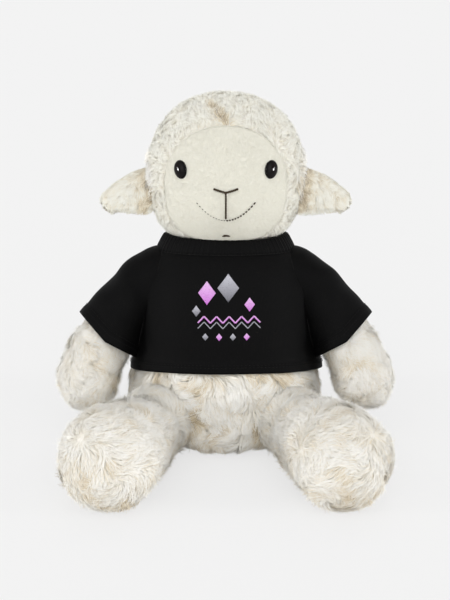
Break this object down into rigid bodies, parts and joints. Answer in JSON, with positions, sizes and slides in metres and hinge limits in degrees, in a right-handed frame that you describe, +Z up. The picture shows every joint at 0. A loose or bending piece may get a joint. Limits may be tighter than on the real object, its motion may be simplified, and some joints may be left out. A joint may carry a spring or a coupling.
{
  "type": "plush toy sheep",
  "caption": "Seated stuffed toy sheep with folded side ears, glossy eyes, stitched nose and smile, splayed soft limbs and a short-sleeved black jersey shirt with an abstract chest print.",
  "frame": {"origin": "on the surface it sits on, at the middle of the flat seat under the trunk", "axes": "+Z up, -Y the way the toy faces, +X towards its own left side"},
  "size_m": [0.206, 0.2027, 0.2149],
  "materials": {
    "long_pile_plush": "long silky pile, cream white",
    "woolly_plush": "short curled woolly pile, off-white",
    "short_pile_velour": "smooth short pile, ivory",
    "ear_lining_velour": "smooth short pile, pale pinkish cream",
    "filling_fibre": "loose white fibre",
    "black_jersey": "fine knitted jersey, black, printed on the chest",
    "gloss_black_plastic": "gloss",
    "white_plastic": "matt",
    "brown_thread": "stranded embroidery thread, dark brown",
    "cream_thread": "sewing thread, cream"
  },
  "bodies": {
    "trunk": {"body_cover": "long_pile_plush", "body_filling": "filling_fibre", "closing_seam": "cream_thread", "neck_seam": "cream_thread", "shirt_front": "black_jersey", "shirt_back": "black_jersey", "shirt_collar": "black_jersey"},
    "neck": {"neck_filling": "filling_fibre"},
    "head": {"head_hood": "woolly_plush", "face_panel": "short_pile_velour", "head_filling": "filling_fibre", "eye_left": "gloss_black_plastic", "eye_right": "gloss_black_plastic", "eye_washer_left": "white_plastic", "eye_washer_right": "white_plastic", "nose_stitching": "brown_thread", "smile_stitching": "brown_thread"},
    "arm_left": {"arm_cover_left": "long_pile_plush", "arm_filling_left": "filling_fibre", "shirt_sleeve_left": "black_jersey"},
    "leg_left": {"leg_cover_left": "long_pile_plush", "leg_filling_left": "filling_fibre"},
    "ear_left": {"ear_outer_left": "woolly_plush", "ear_lining_left": "ear_lining_velour"},
    "arm_right": {"arm_cover_right": "long_pile_plush", "arm_filling_right": "filling_fibre", "shirt_sleeve_right": "black_jersey"},
    "leg_right": {"leg_cover_right": "long_pile_plush", "leg_filling_right": "filling_fibre"},
    "ear_right": {"ear_outer_right": "woolly_plush", "ear_lining_right": "ear_lining_velour"},
    "tail": {"tail_cover": "long_pile_plush", "tail_filling": "filling_fibre"}
  },
  "joints": [
    {"name": "head_turn", "type": "hinge", "parent": "trunk", "child": "neck", "pos_m": [0, 0.02349, 0.11053], "axis": [0, 0.2079, 0.9781], "range_deg": [-20, 20], "stiffness_Nm_per_rad": 0.1},
    {"name": "head_nod", "type": "hinge", "parent": "neck", "child": "head", "pos_m": [0, 0.02349, 0.11053], "axis": [1, 0, 0], "range_deg": [-8, 8], "stiffness_Nm_per_rad": 1, "deforming": ["shirt_collar"]},
    {"name": "arm_raise_left", "type": "hinge", "parent": "trunk", "child": "arm_left", "pos_m": [0.0425, 0.01708, 0.10198], "axis": [0, -0.9781, 0.2079], "range_deg": [0, 50], "stiffness_Nm_per_rad": 0.02, "deforming": ["shirt_sleeve_left"]},
    {"name": "leg_spread_left", "type": "hinge", "parent": "trunk", "child": "leg_left", "pos_m": [0.042, -0.028, 0.0225], "axis": [0, 0, 1], "range_deg": [0, 25], "stiffness_Nm_per_rad": 0.05},
    {"name": "ear_lift_left", "type": "hinge", "parent": "head", "child": "ear_left", "pos_m": [0.0486, 0.03468, 0.16796], "axis": [0, -0.9781, 0.2079], "range_deg": [0, 45], "stiffness_Nm_per_rad": 0.003},
    {"name": "arm_raise_right", "type": "hinge", "parent": "trunk", "child": "arm_right", "pos_m": [-0.0425, 0.01708, 0.10198], "axis": [0, 0.9781, -0.2079], "range_deg": [0, 50], "stiffness_Nm_per_rad": 0.02, "deforming": ["shirt_sleeve_right"]},
    {"name": "leg_spread_right", "type": "hinge", "parent": "trunk", "child": "leg_right", "pos_m": [-0.042, -0.028, 0.0225], "axis": [0, 0, -1], "range_deg": [0, 25], "stiffness_Nm_per_rad": 0.05},
    {"name": "ear_lift_right", "type": "hinge", "parent": "head", "child": "ear_right", "pos_m": [-0.0486, 0.03468, 0.16796], "axis": [0, 0.9781, -0.2079], "range_deg": [0, 45], "stiffness_Nm_per_rad": 0.003},
    {"name": "tail_lift", "type": "hinge", "parent": "trunk", "child": "tail", "pos_m": [0, 0.05158, 0.0238], "axis": [1, 0, 0], "range_deg": [-15, 15], "stiffness_Nm_per_rad": 0.01}
  ]
}
